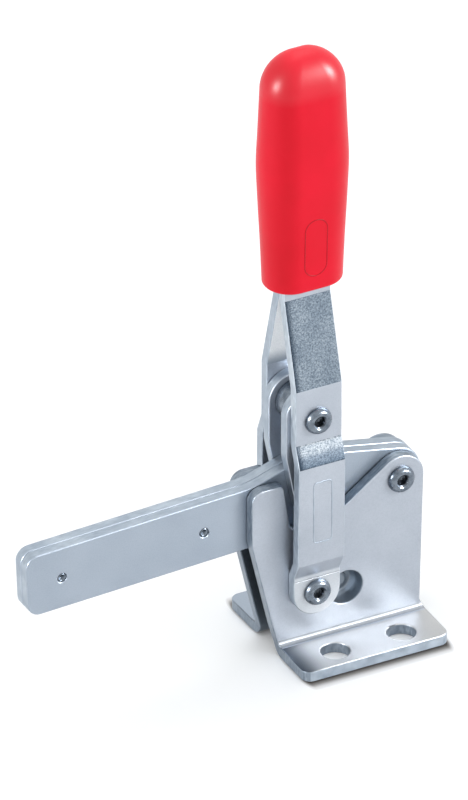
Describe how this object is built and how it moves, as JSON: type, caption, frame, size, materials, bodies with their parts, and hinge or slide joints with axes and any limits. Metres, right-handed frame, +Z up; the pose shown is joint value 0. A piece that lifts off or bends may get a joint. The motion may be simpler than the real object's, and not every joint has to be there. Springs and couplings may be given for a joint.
{
  "type": "vertical toggle clamp",
  "caption": "Vertical hold-down toggle clamp: flat folded-sheet base, solid laminated arm, two-legged lever with a moulded grip and inner links.",
  "frame": {"origin": "centre of the four bolt holes, on the plane of the undersides of the foot flanges", "axes": "+Z up out of the foot, +X towards the tip of the arm, +Y towards the left base plate; the clamp is the same on both sides of Y = 0 apart from the rivet heads"},
  "size_m": [0.1275, 0.048, 0.1975],
  "materials": {
    "zinc_sheet": "bright bluish zinc plate, satin, fine grain",
    "zinc_rivet": "bright zinc plate, smooth and turned",
    "red_plastic": "moulded, satin gloss"
  },
  "bodies": {
    "base": {"base_plate_left": "zinc_sheet", "base_plate_right": "zinc_sheet", "cup_tie_rivet": "zinc_rivet", "arm_pivot_rivet_end_left": "zinc_rivet", "arm_pivot_rivet_end_right": "zinc_rivet", "handle_pivot_spacer": "zinc_rivet"},
    "handle": {"handle_leg_left": "zinc_sheet", "handle_leg_right": "zinc_sheet", "handle_pivot_rivet": "zinc_rivet", "link_pivot_rivet": "zinc_rivet", "link_spacer": "zinc_rivet", "grip": "red_plastic"},
    "link": {"link_left": "zinc_sheet", "link_right": "zinc_sheet", "arm_link_rivet": "zinc_rivet"},
    "arm": {"arm_plate_left": "zinc_sheet", "arm_plate_right": "zinc_sheet", "arm_rivet_front": "zinc_rivet", "arm_rivet_rear": "zinc_rivet", "arm_bush": "zinc_rivet", "arm_pivot_rivet_core": "zinc_rivet"}
  },
  "joints": [
    {"name": "handle_swing", "type": "hinge", "parent": "base", "child": "handle", "pos_m": [0.0135, 0, 0.0211], "axis": [0, -1, 0], "range_deg": [0, 60]},
    {"name": "link_swing", "type": "hinge", "parent": "handle", "child": "link", "pos_m": [0.0133, 0, 0.0789], "axis": [0, -1, 0], "range_deg": [0, 96.93]},
    {"name": "arm_swing", "type": "hinge", "parent": "link", "child": "arm", "pos_m": [0.0134, 0, 0.0503], "axis": [0, 1, 0], "range_deg": [0, 49.68]}
  ],
  "couplings": [
    {"joint": "link_swing", "follows": "handle_swing", "ratio": 1.6155},
    {"joint": "arm_swing", "follows": "handle_swing", "ratio": 0.82787}
  ]
}
